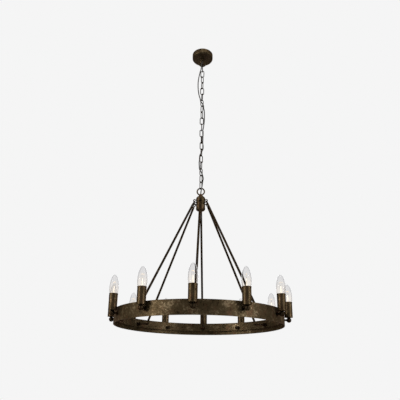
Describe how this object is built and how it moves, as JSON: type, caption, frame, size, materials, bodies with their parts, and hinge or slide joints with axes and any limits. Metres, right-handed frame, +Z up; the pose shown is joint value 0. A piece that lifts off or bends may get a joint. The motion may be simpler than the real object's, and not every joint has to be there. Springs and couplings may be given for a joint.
{
  "type": "wagon wheel chandelier",
  "caption": "Wagon wheel chandelier in aged dark iron: a flat ring with candle lights on short arms, rods up to a hub, and a chain with a flex to a ceiling rose.",
  "frame": {"origin": "middle of the ceiling bracket's upper face, on the ceiling plane", "axes": "Z up, the object hangs towards -Z; X along the bracket's two slots; the light nearest the viewer is on the -Y side"},
  "size_m": [0.7536, 0.7536, 1.3338],
  "materials": {
    "aged_iron": "satin",
    "dark_iron": "satin",
    "brass": "satin",
    "steel": "satin",
    "cream_plastic": "matte",
    "core_insulation": "matte",
    "black_sheath": "matte",
    "bulb_glass": "clear"
  },
  "bodies": {
    "ceiling": {"ceiling_bracket": "steel", "ceiling_nipple": "steel", "ceiling_nuts": "brass", "ceiling_rose": "aged_iron", "ceiling_loop": "aged_iron", "terminal_block": "cream_plastic", "terminal_screws": "brass", "ceiling_cores": "core_insulation"},
    "chain_top": {"chain_top_link": "dark_iron"},
    "chain_upper": {"chain_upper_links": "dark_iron"},
    "chain_middle": {"chain_middle_links": "dark_iron", "flex": "black_sheath"},
    "chain_lower": {"chain_lower_links": "dark_iron"},
    "chain_bottom": {"chain_bottom_link": "dark_iron"},
    "fixture": {"hub_loop": "aged_iron", "hub_dome": "aged_iron", "hub_barrel": "aged_iron", "hub_nipple": "steel", "hub_nut": "brass", "hub_bottom_cap": "aged_iron", "hub_finial": "aged_iron", "hub_connector": "cream_plastic", "hub_cores": "core_insulation", "hub_hooks": "dark_iron", "rod_1": "dark_iron", "rod_2": "dark_iron", "rod_3": "dark_iron", "rod_4": "dark_iron", "rod_5": "dark_iron", "rod_6": "dark_iron", "rod_eyes": "dark_iron", "rod_hooks": "dark_iron", "feed_lead": "black_sheath", "ring_band": "aged_iron", "wiring_channel": "aged_iron", "ring_harness": "black_sheath", "ring_eyes": "dark_iron", "arm_cap_nuts": "dark_iron", "lamp_arms": "aged_iron", "lamp_balls": "aged_iron", "lamp_nipples": "dark_iron", "lamp_leads": "core_insulation", "lampholders": "cream_plastic", "holder_contacts": "brass", "candle_tubes": "aged_iron"},
    "bulb_1": {"bulb_1": "bulb_glass"},
    "bulb_2": {"bulb_2": "bulb_glass"},
    "bulb_3": {"bulb_3": "bulb_glass"},
    "bulb_4": {"bulb_4": "bulb_glass"},
    "bulb_5": {"bulb_5": "bulb_glass"},
    "bulb_6": {"bulb_6": "bulb_glass"},
    "bulb_7": {"bulb_7": "bulb_glass"},
    "bulb_8": {"bulb_8": "bulb_glass"},
    "bulb_9": {"bulb_9": "bulb_glass"},
    "bulb_10": {"bulb_10": "bulb_glass"},
    "bulb_11": {"bulb_11": "bulb_glass"},
    "bulb_12": {"bulb_12": "bulb_glass"}
  },
  "joints": [
    {"name": "top_link_on_loop", "type": "hinge", "parent": "ceiling", "child": "chain_top", "pos_m": [0, 0, -0.06625], "axis": [1, 0, 0], "range_deg": [-30, 30], "deforming": ["flex"]},
    {"name": "upper_run_on_top_link", "type": "hinge", "parent": "chain_top", "child": "chain_upper", "pos_m": [0, 0, -0.0984], "axis": [0, 1, 0], "range_deg": [-30, 30], "deforming": ["flex"]},
    {"name": "middle_run_on_upper_run", "type": "hinge", "parent": "chain_upper", "child": "chain_middle", "pos_m": [0, 0, -0.2982], "axis": [0.7071, 0.7071, 0], "range_deg": [-15, 15], "deforming": ["flex"]},
    {"name": "lower_run_on_middle_run", "type": "hinge", "parent": "chain_middle", "child": "chain_lower", "pos_m": [0, 0, -0.498], "axis": [-0.2588, 0.9659, 0], "range_deg": [-15, 15], "deforming": ["flex"]},
    {"name": "bottom_link_on_lower_run", "type": "hinge", "parent": "chain_lower", "child": "chain_bottom", "pos_m": [0, 0, -0.6978], "axis": [-0.6428, 0.766, 0], "range_deg": [-15, 15], "deforming": ["flex"]},
    {"name": "fixture_on_bottom_link", "type": "hinge", "parent": "chain_bottom", "child": "fixture", "pos_m": [0, 0, -0.7311], "axis": [0.5, 0.866, 0], "range_deg": [-15, 15], "deforming": ["flex"]},
    {"name": "bulb_1_lift", "type": "slide", "parent": "fixture", "child": "bulb_1", "axis": [0, 0, 1], "range_m": [0, 0.06]},
    {"name": "bulb_2_lift", "type": "slide", "parent": "fixture", "child": "bulb_2", "axis": [0, 0, 1], "range_m": [0, 0.06]},
    {"name": "bulb_3_lift", "type": "slide", "parent": "fixture", "child": "bulb_3", "axis": [0, 0, 1], "range_m": [0, 0.06]},
    {"name": "bulb_4_lift", "type": "slide", "parent": "fixture", "child": "bulb_4", "axis": [0, 0, 1], "range_m": [0, 0.06]},
    {"name": "bulb_5_lift", "type": "slide", "parent": "fixture", "child": "bulb_5", "axis": [0, 0, 1], "range_m": [0, 0.06]},
    {"name": "bulb_6_lift", "type": "slide", "parent": "fixture", "child": "bulb_6", "axis": [0, 0, 1], "range_m": [0, 0.06]},
    {"name": "bulb_7_lift", "type": "slide", "parent": "fixture", "child": "bulb_7", "axis": [0, 0, 1], "range_m": [0, 0.06]},
    {"name": "bulb_8_lift", "type": "slide", "parent": "fixture", "child": "bulb_8", "axis": [0, 0, 1], "range_m": [0, 0.06]},
    {"name": "bulb_9_lift", "type": "slide", "parent": "fixture", "child": "bulb_9", "axis": [0, 0, 1], "range_m": [0, 0.06]},
    {"name": "bulb_10_lift", "type": "slide", "parent": "fixture", "child": "bulb_10", "axis": [0, 0, 1], "range_m": [0, 0.06]},
    {"name": "bulb_11_lift", "type": "slide", "parent": "fixture", "child": "bulb_11", "axis": [0, 0, 1], "range_m": [0, 0.06]},
    {"name": "bulb_12_lift", "type": "slide", "parent": "fixture", "child": "bulb_12", "axis": [0, 0, 1], "range_m": [0, 0.06]}
  ]
}
